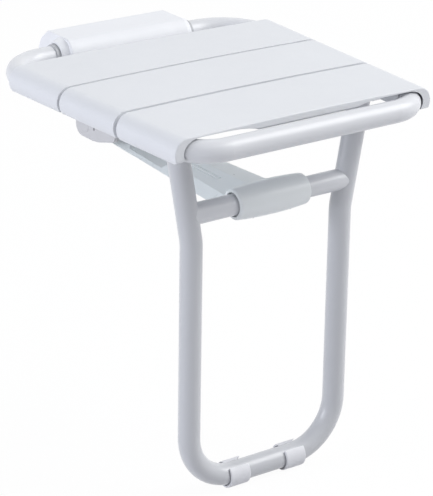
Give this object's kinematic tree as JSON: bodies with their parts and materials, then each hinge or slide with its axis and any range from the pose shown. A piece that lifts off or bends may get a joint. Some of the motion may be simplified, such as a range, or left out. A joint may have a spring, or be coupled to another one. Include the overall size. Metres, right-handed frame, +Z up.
{
  "type": "folding shower seat",
  "caption": "Wall-hung folding shower seat: slatted top on a tube hoop, with a hinged U-shaped prop leg and a stay arm under a covered wall bracket.",
  "frame": {"origin": "middle of the four wall screw holes, on the wall face", "axes": "+X to the right for someone who faces the wall, +Y into the wall, +Z up"},
  "size_m": [0.3666, 0.4325, 0.4593],
  "materials": {
    "bracket_steel": "satin white powder coat",
    "tube_white": "gloss white powder coat",
    "slat_plastic": "satin white",
    "cover_plastic": "satin white",
    "arm_plastic": "satin white",
    "nylon_grey": "grey nylon",
    "foot_rubber": "pale grey rubber",
    "stainless": "stainless steel"
  },
  "bodies": {
    "wall": {"wall_bracket": "bracket_steel", "housing_cover": "cover_plastic", "strap_screws": "stainless", "cover_screws": "stainless", "hinge_bush_left": "nylon_grey", "hinge_bush_right": "nylon_grey", "hinge_strap_left": "bracket_steel", "hinge_strap_right": "bracket_steel", "end_cap_left": "cover_plastic", "end_cap_right": "cover_plastic", "arm_pin": "stainless", "arm_pin_cap": "stainless"},
    "seat": {"seat_frame": "tube_white", "slat_front": "slat_plastic", "slat_middle": "slat_plastic", "slat_rear": "slat_plastic", "slat_screws": "stainless", "leg_pivot_bolts": "stainless"},
    "leg": {"leg_frame": "tube_white", "cross_tube": "tube_white", "leg_pivot_sleeves": "stainless", "leg_plug_left": "nylon_grey", "leg_plug_right": "nylon_grey", "foot_pad_left": "foot_rubber", "foot_pad_right": "foot_rubber"},
    "arm": {"support_arm": "arm_plastic", "sleeve_cap": "arm_plastic", "sleeve_screws": "stainless", "arm_bush_left": "nylon_grey", "arm_bush_right": "nylon_grey"}
  },
  "joints": [
    {"name": "seat_fold", "type": "hinge", "parent": "wall", "child": "seat", "pos_m": [0, -0.052, 0.044], "axis": [-1, 0, 0], "range_deg": [0, 70]},
    {"name": "leg_swing", "type": "hinge", "parent": "seat", "child": "leg", "pos_m": [0, -0.344, 0.038], "axis": [1, 0, 0], "range_deg": [0, 70]},
    {"name": "arm_swing", "type": "hinge", "parent": "wall", "child": "arm", "pos_m": [0, -0.052, -0.048], "axis": [-1, 0, 0], "range_deg": [0, 70]}
  ],
  "couplings": [
    {"joint": "leg_swing", "follows": "seat_fold", "ratio": 1},
    {"joint": "arm_swing", "follows": "seat_fold", "ratio": 1}
  ]
}
